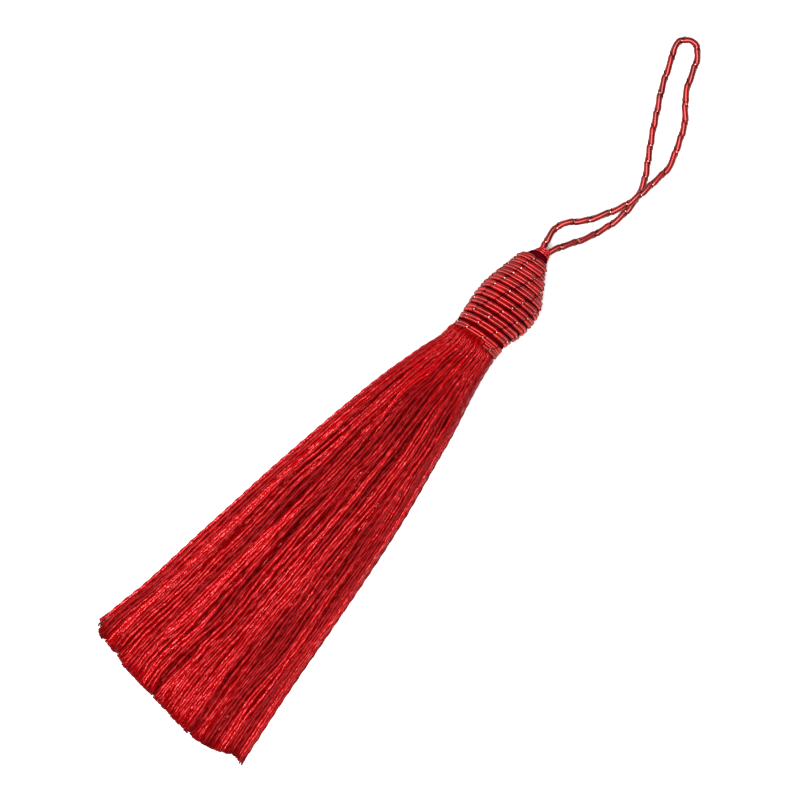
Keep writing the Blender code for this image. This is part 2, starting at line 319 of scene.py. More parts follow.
class TasselHeadSettings(bpy.types.PropertyGroup):
    rows: FloatProperty(name="Rows", description="Rows of cord on the head", default=10.2, min=1.0, max=10.2)
    sink: size("Sink", "From the head's outside in to the middle of its cord", 0.48)
    neck_radius: size("Neck radius", "Radius of the cord that binds the neck", 4.6)
    collar_radius: size("Collar radius", "Radius of the lowest of the fine turns at the top", 1.78)
    collar_top: size("Collar top", "Radius of the highest of the fine turns", 1.24)
    collar_place: size("Collar place", "From the neck to the collar", 19.36)
    collar_length: size("Collar length", "Length of the collar", 1.2)
    core_colour: colour("Core", "Yarn bound under the winding", "#340107")


class TasselStageSettings(bpy.types.PropertyGroup):
    lens: FloatProperty(name="Lens", description="Focal length", default=200.0, min=20.0, unit="CAMERA")
    field: size("Field", "Width that the camera takes in", 142.4)
    aim_x: distance("Aim X", "Place under the camera", -26.1)
    aim_y: distance("Aim Y", "Place under the camera", 3.54)
    turn: FloatProperty(
        name="Turn", description="How far the camera is turned", default=math.radians(-50.0), subtype="ANGLE"
    )
    overhead: FloatProperty(name="Overhead", description="Power of this light", default=30.0, unit="POWER")
    softbox: FloatProperty(name="Softbox", description="Power of this light", default=1.4, unit="POWER")
    ambient: FloatProperty(name="Ambient", description="Strength of the white surroundings", default=0.12)
    floor: colour("Floor", "Colour of the table", "#D8D8D8")


# ---- materials ----


def feed(tree, node, inputs):
    """Links or sets a node's inputs."""
    for socket, value in inputs.items():
        if isinstance(value, bpy.types.NodeSocket):
            tree.links.new(value, node.inputs[socket])
        else:
            node.inputs[socket].default_value = value


def add(tree, kind, inputs=None, **settings):
    """Adds a node with its settings and inputs."""
    made = tree.nodes.new("ShaderNode" + kind)
    for name, value in settings.items():
        setattr(made, name, value)
    feed(tree, made, inputs or {})
    return made


def new_material(name, **sockets):
    """A material and its Principled shader, with values set on the shader's own sockets."""
    material = bpy.data.materials.new(name)
    material.use_nodes = True
    shader = material.node_tree.nodes["Principled BSDF"]
    feed(material.node_tree, shader, {socket.replace("_", " "): value for socket, value in sockets.items()})
    return material, material.node_tree, shader


def streaks(tree, where, often, detail=1.0):
    """Noise that changes this often along each direction of a surface, and so is drawn out along some."""
    drawn = add(tree, "Mapping", {"Vector": where, "Scale": often})
    return add(tree, "TexNoise", {"Vector": drawn.outputs[0], "Scale": 1.0, "Detail": detail}).outputs[0]


def stops(ramp, *colours):
    """Sets a colour ramp's stops, given as (place, colour)."""
    elements = ramp.color_ramp.elements
    while len(elements) < len(colours):
        elements.new(0.5)
    for element, (place, value) in zip(elements, colours):
        element.position = place
        element.color = value


def shade(colour_value, factor):
    """A linear colour made darker or lighter."""
    return tuple(min(1.0, c * factor) for c in colour_value[:3]) + (1.0,)


def silk_yarn(name, dye, length):
    """Degummed silk floss of three plies: its smooth filaments give a fine line of gloss along the yarn."""
    # Light that comes back out through the dyed filaments is red, and it tints part of the gloss.
    material, tree, shader = new_material(
        name, Specular_IOR_Level=0.36, Specular_Tint=(1.0, 0.24, 0.25, 1.0), IOR=1.54
    )
    along = add(tree, "UVMap", uv_map="UVMap").outputs["UV"]
    # A bundle of filaments shows for about 2 mm before it dives, and 12 lie side by side round the yarn.
    bundles = streaks(tree, along, (length / (2.0 * MM), 12.0, 1.0), detail=2.0)
    # Each yarn's mark is its random tone less its painted shade, and sets how dark the dye is painted.
    yarn = add(tree, "Attribute", attribute_name="mark")
    depth = add(tree, "Math", {0: yarn.outputs["Fac"], 1: bundles}, operation="MULTIPLY")
    ramp = add(tree, "ValToRGB", {"Fac": depth.outputs[0]})
    stops(ramp, (0.10, shade(dye, 0.6)), (0.32, dye), (0.58, shade(dye, 1.3)))
    # Where the filaments lie straight they are bright and smooth, and where they are ruffled dull.
    ruffled = add(
        tree,
        "MapRange",
        {"Value": depth.outputs[0], "From Min": 0.12, "From Max": 0.46, "To Min": 0.6, "To Max": 0.18},
    )
    # Deep between the filaments, light only comes back through them, and even its gloss is red.
    deep = add(
        tree,
        "MapRange",
        {"Value": depth.outputs[0], "From Min": 0.14, "From Max": 0.40, "To Min": 0.4, "To Max": 0.0},
    )
    # The plies are of fine threads, whose twist breaks the gloss into dashes 0.9 mm long.
    dashes = streaks(tree, along, (length / (0.9 * MM), 3.0, 1.0))
    ridge = add(tree, "Bump", {"Height": dashes, "Distance": 0.3 * MM, "Strength": 0.8})
    feed(tree, shader, {"Base Color": ramp.outputs["Color"], "Normal": ridge.outputs["Normal"]})
    feed(tree, shader, {"Roughness": ruffled.outputs["Result"], "Metallic": deep.outputs["Result"]})
    return material


def silk_cord(name, dye, length, wraps, drawn):
    """Gimp: a core closely wrapped with silk, across each ply, so that its gloss is drawn out along it.

    The tighter the cord is drawn (0 to 1), the straighter its plies lie and the narrower the gloss is.
    """
    material, tree, shader = new_material(
        name,
        Metallic=0.6,
        Roughness=0.43,
        Specular_IOR_Level=1.0,
        Specular_Tint=(1.0, 0.7, 0.66, 1.0),
        IOR=1.54,
        Anisotropic=drawn,
    )
    ply = add(tree, "Tangent", direction_type="UV_MAP", uv_map="UVMap")
    along = add(tree, "UVMap", uv_map="UVMap").outputs["UV"]
    # Two silk filaments lie in each wrap.
    filaments = streaks(tree, along, (2 * length / wraps, 1.5, 1.0))
    # Over about 3 mm the wraps lie now closer, now looser, and the colour goes with them.
    loose = streaks(tree, along, (length / (3 * MM), 2.0, 1.0))
    both = add(tree, "Math", {0: filaments, 1: loose}, operation="ADD")
    mean = add(tree, "Math", {0: both.outputs[0], 1: 0.5}, operation="MULTIPLY")
    ramp = add(tree, "ValToRGB", {"Fac": mean.outputs[0]})
    stops(ramp, (0.34, shade(dye, 0.5)), (0.5, dye), (0.66, shade(dye, 1.6)))
    ridge = add(tree, "Bump", {"Height": filaments, "Distance": 0.02 * MM, "Strength": 0.4})
    feed(tree, shader, {"Base Color": ramp.outputs["Color"], "Normal": ridge.outputs["Normal"]})
    feed(tree, shader, {"Tangent": ply.outputs["Tangent"]})
    return material


def bound_core(name, deep, dye):
    """Yarn bound hard under the winding: dull, and painted dark as painted shade in the gaps between the
    rows and under the collar.

    At its foot the yarn comes out from under the binding, and there it is painted a second dark colour,
    painted shade of the gap above the neck binding.
    """
    material, tree, shader = new_material(name, Roughness=0.8, Specular_IOR_Level=0.0)
    where = add(tree, "TexCoord").outputs["Object"]
    # The binding thread is 0.3 mm thick, and its dye changes over about 2.5 mm along it.
    across, along = 1 / (0.3 * MM), 1 / (2.5 * MM)
    ramp = add(tree, "ValToRGB", {"Fac": streaks(tree, where, (across, along, along))})
    stops(ramp, (0.35, shade(deep, 0.5)), (0.65, shade(deep, 1.3)))
    parts = add(tree, "SeparateXYZ", {"Vector": where})
    low, high = NECK.x + 1.9 * MM, NECK.x + 3.2 * MM
    foot = add(
        tree,
        "MapRange",
        {"Value": parts.outputs["X"], "From Min": low, "From Max": high, "To Min": 1.0, "To Max": 0.0},
    )
    # Sockets 6 and 7 are the two colours, and output 2 is the mixed one.
    both = add(tree, "Mix", {0: foot.outputs["Result"], 6: ramp.outputs["Color"], 7: dye}, data_type="RGBA")
    feed(tree, shader, {"Base Color": both.outputs[2]})
    return material


def metal_thread(name, gold):
    """A dark matt thread wound with gold foil, painted gold only in spots where it faces up: painted glints.
    """
    material, tree, shader = new_material(name, Roughness=0.35, Specular_IOR_Level=0.05)
    foil = add(tree, "Attribute", attribute_name="mark")
    # The mark paints the thread gold at its glints: a painted highlight.
    painted_glint_colour = add(tree, "ValToRGB", {"Fac": foil.outputs["Fac"]})
    stops(painted_glint_colour, (0.25, linear("#0C0102")), (0.55, gold))
    metal = add(tree, "Math", {0: foil.outputs["Fac"], 1: 0.6}, operation="MULTIPLY")
    feed(tree, shader, {"Base Color": painted_glint_colour.outputs["Color"], "Metallic": metal.outputs[0]})
    return material


def table_top(name, pale):
    """Matt white board."""
    material, tree, shader = new_material(name, Roughness=0.9, Specular_IOR_Level=0.1)
    where = add(tree, "TexCoord")
    # Its grain is about 1.1 mm across, which is 900 to the metre, and faint.
    grain = add(tree, "TexNoise", {"Vector": where.outputs["Object"], "Scale": 900.0, "Detail": 2.0})
    ramp = add(tree, "ValToRGB", {"Fac": grain.outputs[0]})
    stops(ramp, (0.3, shade(pale, 0.985)), (0.7, pale))
    feed(tree, shader, {"Base Color": ramp.outputs["Color"]})
    return material


# ---- shapes ----


def between(t, a, b, slope_a, slope_b):
    """A share t of the way from a to b, on a curve with these slopes at its two ends."""
    value = (2 * t**3 - 3 * t**2 + 1) * a + (t**3 - 2 * t**2 + t) * slope_a
    return value + ((3 * t**2 - 2 * t**3) * b + (t**3 - t**2) * slope_b)


def read_table(table, place, column):
    """A column of a table at a place, on a smooth curve through its rows."""
    which = table[0].index(column)
    rows = table[1:]
    x = min(max(place / MM, rows[0][0]), rows[-1][0])
    k = 0
    while k < len(rows) - 2 and x > rows[k + 1][0]:
        k += 1
    before, a, b, after = (rows[min(max(k + i, 0), len(rows) - 1)] for i in (-1, 0, 1, 2))
    width = b[0] - a[0]
    t = (x - a[0]) / width
    slope_a = (b[which] - before[which]) / (b[0] - before[0]) * width
    slope_b = (after[which] - a[which]) / (after[0] - a[0]) * width
    return between(t, a[which], b[which], slope_a, slope_b) * MM


def smooth_step(value, low, high):
    """0 below low, 1 above high and a smooth rise between."""
    t = min(max((value - low) / (high - low), 0.0), 1.0)
    return t * t * (3 - 2 * t)


def over(stretch, from_neck):
    """0 before a stretch of the skirt, 1 after it and a smooth rise between."""
    return smooth_step(from_neck, stretch[0] * MM, stretch[1] * MM)


def wave(name, own, across, along):
    """How far a wave goes at a place of the skirt in mm. own tells each yarn from the next."""
    far, change_across, change_along, layer = WAVES[name]
    if change_across:
        own = across * change_across
    return far * noise.noise(Vector((own, along * change_along, layer)))


def head_point(along, shift, out, turn):
    """A point of the head: along its axis from the neck, then out from the axis at an angle from the top."""
    side = Vector((-math.sin(HEAD_YAW), math.cos(HEAD_YAW), 0))
    up = Vector((math.sin(NOSE_DOWN), 0, math.cos(NOSE_DOWN)))
    # The tip nods a little more, so its turns lean back to the neck on both sides.
    along -= TIP_NOD * smooth_step(along, *TIP) * out * (1 - math.cos(turn))
    centre = NECK + Vector((along * math.cos(NOSE_DOWN), shift, -along * math.sin(NOSE_DOWN)))
    return centre + side * out * math.sin(turn) + up * out * math.cos(turn)


def smooth_route(table, step):
    """Points one step apart on a smooth curve through a route's own points."""
    knots = [Vector(row) * MM for row in table[1:]]
    parts = 24
    fine = []
    for k in range(len(knots) - 1):
        before, a, b, after = (knots[min(max(k + i, 0), len(knots) - 1)] for i in (-1, 0, 1, 2))
        fine += [between(i / parts, a, b, (b - before) / 2, (after - a) / 2) for i in range(parts)]
    fine.append(knots[-1])
    lengths = [0.0]
    for a, b in zip(fine, fine[1:]):
        lengths.append(lengths[-1] + (b - a).length)
    count = round(lengths[-1] / step)
    points = []
    k = 0
    for i in range(count + 1):
        reached = lengths[-1] * i / count
        while k < len(fine) - 2 and lengths[k + 1] < reached:
            k += 1
        points.append(fine[k].lerp(fine[k + 1], (reached - lengths[k]) / (lengths[k + 1] - lengths[k])))
    return points, lengths[-1]


def section(sides, waist, lobes):
    """A cross-section of radius 1 with grooves between its lobes. It runs clockwise: tubes face outwards."""
    curve = bpy.data.curves.new("section", "CURVE")
    curve.dimensions = "2D"
    spline = curve.splines.new("POLY")
    spline.points.add(sides - 1)
    spline.use_cyclic_u = True
    for i, point in enumerate(spline.points):
        angle = -2 * math.pi * i / sides
        out = 1 - waist / 2 + waist / 2 * math.cos(lobes * angle)
        point.co = (out * math.cos(angle), out * math.sin(angle), 0, 1)
    return bpy.data.objects.new("section", curve)


def strands(name, lines, sides, waist=0.0, lobes=2, twist_mode="Z_UP"):
    """A mesh of tubes, one for each line: its points, and their radii and twists.

    Each line also has a mark, one value or one for each point, which its tube keeps as an attribute.
    """
    outline = section(sides, waist, lobes)
    curve = bpy.data.curves.new(name, "CURVE")
    curve.dimensions = "3D"
    curve.twist_mode = twist_mode
    curve.bevel_mode = "OBJECT"
    curve.bevel_object = outline
    marks = []
    for line in lines:
        points, radii, twists = line["points"], line["radii"], line.get("twists")
        spline = curve.splines.new("POLY")
        spline.points.add(len(points) - 1)
        spline.points.foreach_set("co", [c for point in points for c in (*point, 1.0)])
        spline.points.foreach_set("radius", radii)
        if twists:
            spline.points.foreach_set("tilt", twists)
        mark = line.get("mark", 0.5)
        if not isinstance(mark, list):
            mark = [mark] * len(points)
        marks += [value for value in mark for side in range(sides)]
    draft = bpy.data.objects.new(name, curve)
    scene = bpy.context.scene.collection
    scene.objects.link(outline)
    scene.objects.link(draft)
    graph = bpy.context.evaluated_depsgraph_get()
    mesh = bpy.data.meshes.new_from_object(draft.evaluated_get(graph))
    bpy.data.objects.remove(draft)
    bpy.data.objects.remove(outline)
    mesh.attributes.new("mark", "FLOAT", "POINT").data.foreach_set("value", marks)
    shape = bmesh.new()
    shape.from_mesh(mesh)
    ends = [edge for edge in shape.edges if edge.is_boundary]
    bmesh.ops.holes_fill(shape, edges=ends, sides=sides)
    shape.to_mesh(mesh)
    shape.free()
    mesh.name = name
    return mesh


def place(name, mesh, material, slot):
    """Puts a finished mesh in the scene as a piece of the tassel."""
    mesh.materials.clear()
    mesh.materials.append(material)
    piece = bpy.data.objects.new(name, mesh)
    bpy.context.scene.collection.objects.link(piece)
    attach(piece, BODY)
    return piece


def slant(turned, pinch):
    """-1 to 1 from one crossing of the metal thread to the next, and 0 where it pinches the plies."""
    part = (turned / math.pi + 0.5) % 1.0
    near = min(part, 1 - part) / pinch
    return (2 * part - 1) * (1 - math.exp(-near * near))


def twisted(turned, across, out):
    """Two plies that go round each other, one on top between two crossings of the metal thread."""
    # Each stays on top a little longer than an even twist would keep it there.
    stay, aside = 0.2, 0.09 * MM
    angle = math.pi / 2 - (turned - stay * math.sin(2 * turned))
    return aside * slant(turned, pinch=0.08), Vector((across * math.cos(angle), out * math.sin(angle)))


def bound(turned, across, out):
    """Two plies pressed side by side, which slant between two crossings of the metal thread."""
    aside = 0.12 * across
    return aside * slant(turned, pinch=0.06), Vector((across, out * math.sin(turned)))


def lay_cord(places, arrange, settings, spots, ply, across, out, pinch):
    """The two plies of a cord and the metal thread round them.

    places holds, for each step, its centre, the two directions across it and how far its twist has
    turned. ply is a ply's radius, and arrange, across and out say how far the plies lie from the
    cord's middle. They are pinched by a share where the thread passes over them. spots are the places
    across the cord where the thread's foil may be painted as a glint, a painted highlight. It is laid to
    the left.
    """
    dice = random.Random(settings.seed)
    plies = [{"points": [], "radii": []}, {"points": [], "radii": []}]
    metal = {"points": [], "radii": [], "mark": []}
    lit = {}
    walked = 0.0
    last = places[0][0]
    for centre, side, up, turned in places:
        walked += (centre - last).length
        last = centre
        rise, offset = arrange(turned, across, out)
        radius = ply * (1 + WRAP_RIDGE * math.sin(2 * math.pi * walked / settings.wraps))
        radius *= 1 - pinch * math.sin(turned) ** PINCH_POWER
        for sign, strand in zip((1, -1), plies):
            point = centre + side * (rise + offset.x * sign) + up * offset.y * sign
            point.z = max(point.z, radius)
            strand["points"].append(point)
            strand["radii"].append(radius)
        # The thread turns twice as often as the plies, and crosses the outside steeply.
        thread_turned = 2 * turned - math.pi
        angle = math.pi / 2 - (thread_turned + STEEPER * math.sin(thread_turned))
        ray = Vector((math.cos(angle), math.sin(angle)))
        reach = NEAREST * ply
        for sign in (1, -1):
            near = ray.dot(offset) * sign
            gap = radius**2 - offset.length_squared + near**2
            if gap > 0:
                reach = max(reach, near + math.sqrt(gap))
        reach -= BEDDED * settings.thread
        # Each crossing may get a painted glint: the mark turns the thread gold where it faces up near a
        # chosen spot.
        crossing = math.floor(turned / math.pi)
        if crossing not in lit:
            lit[crossing] = dice.choice(spots) if dice.random() < settings.glints else None
        glint = 0.0
        if lit[crossing] is not None and ray.y > 0:
            glint = max(1 - abs(ray.x - lit[crossing]) / GLINT_WIDTH, 0.0)
        thick = settings.thread * (1 + GLINT_SWELL * glint)
        point = centre + side * (rise + ray.x * reach) + up * ray.y * reach
        point.z = max(point.z, thick)
        metal["points"].append(point)
        metal["radii"].append(thick)
        metal["mark"].append(glint)
    return plies, metal


def place_cord(name, plies, metal, sides, silk, foil):
    """Puts a cord and its metal thread in the scene. sides are those of a ply and of the thread."""
    cord_name, thread_name = name + "_cord", name + "_metal_thread"
    cord_mesh = strands(cord_name, plies, sides[0], twist_mode="MINIMUM")
    cord = place(cord_name, cord_mesh, silk, "red_silk_cord")
    thread_mesh = strands(thread_name, [metal], sides[1], twist_mode="MINIMUM")
    thread = place(thread_name, thread_mesh, foil, "gold_metallic_thread")
    return cord, thread


# ---- pieces ----


class TASSEL_OT_stage(bpy.types.Operator):
    """Sets the camera, the lights and the table"""

    bl_idname = "tassel.stage"
    bl_label = "Stage"

    def execute(self, context):
        settings = context.scene.tassel_stage
        scene = context.scene
        sensor = 36.0  # the camera's own, in mm
        level = 5 * MM  # the height above the table at which the field is measured
        camera_data = bpy.data.cameras.new("camera")
        camera_data.lens = settings.lens
        camera_data.sensor_width = sensor
        camera = bpy.data.objects.new("camera", camera_data)
        height = settings.field * settings.lens / sensor
        camera.location = (settings.aim_x, settings.aim_y, height + level)
        camera.rotation_euler = (0.0, 0.0, settings.turn)
        scene.collection.objects.link(camera)
        scene.camera = camera

        aim = Vector((settings.aim_x, settings.aim_y, 0.0))
        # Each light's name, length, width and power, and its place from the aim, in metres and watts
        lights = (
            ("overhead", 0.70, 0.40, settings.overhead, Vector((-0.08, 0.03, 1.0))),
            ("softbox", 0.50, 0.50, settings.softbox, Vector((-0.45, 0.50, 0.60))),
        )
        for name, along, across, power, spot in lights:
            light = bpy.data.lights.new(name, "AREA")
            light.shape = "ELLIPSE"
            light.size = along
            light.size_y = across
            light.energy = power
            lamp = bpy.data.objects.new(name, light)
            lamp.location = aim + spot
            lamp.rotation_euler = (aim - lamp.location).to_track_quat("-Z", "Y").to_euler()
            scene.collection.objects.link(lamp)

        world = bpy.data.worlds.new("white_room")
        world.use_nodes = True
        background = world.node_tree.nodes["Background"]
        feed(world.node_tree, background, {"Color": (1.0, 1.0, 1.0, 1.0), "Strength": settings.ambient})
        scene.world = world
        scene.view_settings.view_transform = "Standard"

        shape = bmesh.new()
        reach = 1.5
        bmesh.ops.create_grid(shape, x_segments=2, y_segments=2, size=reach)
        mesh = bpy.data.meshes.new("table_top")
        shape.to_mesh(mesh)
        shape.free()
        mesh.materials.append(table_top("matt_white_board", settings.floor))
        table = bpy.data.objects.new("table_top", mesh)
        scene.collection.objects.link(table)
        return {"FINISHED"}


class TASSEL_OT_loop(bpy.types.Operator):
    """Makes the hanging loop: two silk-wrapped plies, twisted, with a metal thread round them"""

    bl_idname = "tassel.loop"
    bl_label = "Hanging loop"

    def execute(self, context):
        settings = context.scene.tassel_cord
        step = 0.085 * MM
        points, length = smooth_route(LOOP, step)
        tucked = 1.2 * MM  # each end runs on under the collar
        spare = round(tucked / step)
        lead = [points[0] + (points[0] - points[8]).normalized() * step * (spare - i) for i in range(spare)]
        tail = [points[-1] + (points[-1] - points[-9]).normalized() * step * (i + 1) for i in range(spare)]
        line = lead + points + tail
        # The twist is now tighter, now looser, over about 6 mm.
        uneven, change, layer = 1.1, 6 * MM, 5.3
        places = []
        for k, point in enumerate(line):
            ahead = (line[min(k + 3, len(line) - 1)] - line[max(k - 3, 0)]).normalized()
            side = Vector((0, 0, 1)).cross(ahead).normalized()
            turned = 2 * math.pi * k * step / settings.lay
            turned += uneven * noise.noise(Vector((k * step / change, 0.0, layer)))
            places.append((point, side, ahead.cross(side), turned))
        offset = settings.diameter / 2 - settings.ply
        spots = (-0.35, 0.1)
        lie = {"ply": settings.ply, "across": 0.7 * offset, "out": offset, "pinch": 0.12}
        plies, metal = lay_cord(places, twisted, settings, spots, **lie)
        whole = length + 2 * tucked
        # The loop's cord is painted at 0.64 of the dye: painted shade, as its loose plies face the light
        # less squarely.
        silk = silk_cord("silk_gimp_loop", shade(settings.colour, 0.64), whole, settings.wraps, 0.6)
        foil = metal_thread("gold_foil_thread", settings.gold)
        cord, metal_piece = place_cord("loop", plies, metal, (10, 6), silk, foil)
        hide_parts("hanging_loop")
        return {"FINISHED"}


class TASSEL_OT_head(bpy.types.Operator):
    """Winds the head: one cord in close rows over the bound core"""

    bl_idname = "tassel.head"
    bl_label = "Wound head"

    def row_place(self, row):
        """How far from the neck a row lies on the top of the head."""
        return read_table(WINDING, row * MM, "from_neck")

    def execute(self, context):
        head, settings = context.scene.tassel_head, context.scene.tassel_cord
        steps = 380  # in each row
        # On the top of the head, each row's crossings lie a little to the right of the last row's.
        lag, first = 0.26, 0.91
        usual_pitch, widest, narrowest = 1.76 * MM, 1.3, 0.9
        # The twist is now tighter, now looser, over about 9 mm.
        uneven, change, layer = 0.5, 9 * MM, 2.6
        nudge = 0.2 * MM
        places = []
        length = 0.0
        for k in range(round(head.rows * steps) + 1):
            row = k / steps
            # Each row has a whole number of crossings, but for the lag.
            if k == 0 or (k + steps // 2) % steps == 0:
                middle = read_table(HEAD, self.row_place(row + 0.5), "radius") - head.sink
                crossings = round(2 * math.pi * middle / (settings.lay / 2) + lag) - lag
            if k == 0:
                turned = math.pi * (first - crossings / 2)
            along = self.row_place(row)
            radius = read_table(HEAD, along, "radius") - head.sink
            shift = read_table(HEAD, along, "shift")
            angle = math.pi - 2 * math.pi * row
            centre = head_point(along, shift, radius, angle)
            spoke = (centre - head_point(along, shift, 0, angle)).normalized()
            ahead = along + nudge
            wider = read_table(HEAD, ahead, "radius") - head.sink
            side = (head_point(ahead, read_table(HEAD, ahead, "shift"), wider, angle) - centre) / nudge
            pitch = self.row_place(row + 0.5) - self.row_place(row - 0.5)
            # Where the slope leaves more room for a row, its plies spread out to fill it.
            spread = min(max(side.length * pitch / usual_pitch, narrowest), widest)
            side.normalize()
            up = (spoke - side * spoke.dot(side)).normalized()
            twist = turned + uneven * noise.noise(Vector((length / change, 0.0, layer)))
            places.append((centre, side * spread, up, twist))
            turned += math.pi * crossings / steps
            length += 2 * math.pi * radius / steps
        lie = {"ply": 0.46 * MM, "across": 0.35 * MM, "out": 0.04 * MM, "pinch": 0.28}
        plies, metal = lay_cord(places, bound, settings, WOUND_SPOTS, **lie)
        silk = silk_cord("silk_gimp_head", settings.colour, length, settings.wraps, 1.0)
        foil = metal_thread("gold_foil_thread_head", settings.gold)
        cord = place_cord("head", plies, metal, (8, 5), silk, foil)[0]
        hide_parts("head_winding")
        # The core and its foot are painted dark: painted shade.
        shaded_core = bound_core("bound_silk_core", head.core_colour, shade(settings.colour, 0.17))
        place("head_core", self.core(head), shaded_core, "red_silk_yarn")
        return {"FINISHED"}

    def core(self, head):
        """The bound yarn inside the winding, turned from its profile, with grooves between its turns."""
        shape = bmesh.new()
        start, end = 0.5 * MM, 20.4 * MM
        turns, groove, round_steps = 66, 0.14 * MM, 40
        # It lies this deep under the winding, but comes up at the foot and under the collar.
        deep, collar_rise, foot_rise = 0.85 * MM, 0.75 * MM, 0.65 * MM
        # Inside the collar it narrows to a blunt tip.
        tip, taper = 1.35 * MM, 0.3
        rows = [shape.verts.new((start, 0, 0))]
        for i in range(turns * 2 + 1):
            along = start + (end - start) * i / (turns * 2)
            sunk = deep - collar_rise * smooth_step(along, 18.0 * MM, 18.6 * MM)
            sunk -= foot_rise * (1 - smooth_step(along, 1.8 * MM, 3.0 * MM))
            radius = read_table(HEAD, along, "radius") - sunk - (groove if i % 2 else 0.0)
            if along > head.collar_place:
                radius = min(radius, tip - taper * (along - head.collar_place))
            rows.append(shape.verts.new((along, radius, 0)))
        rows.append(shape.verts.new((end, 0, 0)))
        profile = [shape.edges.new(pair) for pair in zip(rows, rows[1:])]
        bmesh.ops.spin(
            shape,
            geom=rows + profile,
            cent=(0, 0, 0),
            axis=(1, 0, 0),
            angle=2 * math.pi,
            steps=round_steps,
            use_merge=True,
        )
        bmesh.ops.remove_doubles(shape, verts=shape.verts, dist=0.001 * MM)
        for vertex in shape.verts:
            along, y, z = vertex.co
            shift = read_table(HEAD, along, "shift")
            vertex.co = head_point(along, shift, math.hypot(y, z), math.atan2(y, z))
        bmesh.ops.recalc_face_normals(shape, faces=shape.faces)
        for face in shape.faces:
            face.smooth = True
        mesh = bpy.data.meshes.new("head_core")
        shape.to_mesh(mesh)
        shape.free()
        return mesh


class TASSEL_OT_neck(bpy.types.Operator):
    """Binds the neck with a cord drawn tight over the yarn roots"""

    bl_idname = "tassel.neck"
    bl_label = "Neck binding"

    def execute(self, context):
        head, settings = context.scene.tassel_head, context.scene.tassel_cord
        axis = Vector((math.cos(NOSE_DOWN), 0, -math.sin(NOSE_DOWN)))
        turns, pitch, start = 1.38, 0.95 * MM, -0.36 * MM
        shift, first_angle = -0.55 * MM, -0.35
        steps = round(turns * 340)
        places = []
        for k in range(steps + 1):
            row = turns * k / steps
            along = start + pitch * row
            angle = first_angle - 2 * math.pi * row
            centre = head_point(along, shift, head.neck_radius, angle)
            spoke = (centre - head_point(along, shift, 0, angle)).normalized()
            wound = 2 * math.pi * head.neck_radius * row
            places.append((centre, axis, spoke, wound * 2 * math.pi / settings.lay))
        lie = {"ply": 0.34 * MM, "across": 0.27 * MM, "out": 0.04 * MM, "pinch": 0.2}
        plies, metal = lay_cord(places, bound, settings, WOUND_SPOTS, **lie)
        length = 2 * math.pi * head.neck_radius * turns
        # The neck's cord is painted a touch darker than the dye: painted shade.
        silk = silk_cord("silk_gimp_neck", shade(settings.colour, 0.95), length, settings.wraps, 1.0)
        foil = metal_thread("gold_foil_thread_neck", settings.gold)
        cord = place_cord("neck", plies, metal, (8, 5), silk, foil)[0]
        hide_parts("neck_binding")
        return {"FINISHED"}


class TASSEL_OT_collar(bpy.types.Operator):
    """Winds the fine turns that hold the two legs of the loop"""

    bl_idname = "tassel.collar"
    bl_label = "Collar"

    def execute(self, context):
        head, settings = context.scene.tassel_head, context.scene.tassel_cord
        turns, steps, thick, lay = 2.7, 60, 0.21 * MM, 1.6 * MM
        low_shift, shift_change = 0.22, 0.12
        points, twists = [], []
        for k in range(round(turns * steps) + 1):
            row = k / steps
            along = head.collar_place + head.collar_length * row / turns
            angle = math.pi - 2 * math.pi * row
            radius = head.collar_radius + (head.collar_top - head.collar_radius) * row / turns
            shift = (low_shift - shift_change * row / turns) * MM
            points.append(head_point(along, shift, radius - thick, angle))
            twists.append(-2 * math.pi * row * 2 * math.pi * head.collar_radius / lay)
        line = {"points": points, "radii": [thick] * len(points), "twists": twists}
        length = 27 * MM
        # The collar thread is painted 1.6 times lighter than the dye: a painted highlight on its small,
        # steep turns.
        silk = silk_cord("silk_binding_thread", shade(settings.colour, 1.6), length, settings.wraps, 0.5)
        mesh = strands("collar_thread", [line], 8, waist=0.3, twist_mode="MINIMUM")
        collar = place("collar_thread", mesh, silk, "red_fine_thread")
        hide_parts("top_binding")
        return {"FINISHED"}


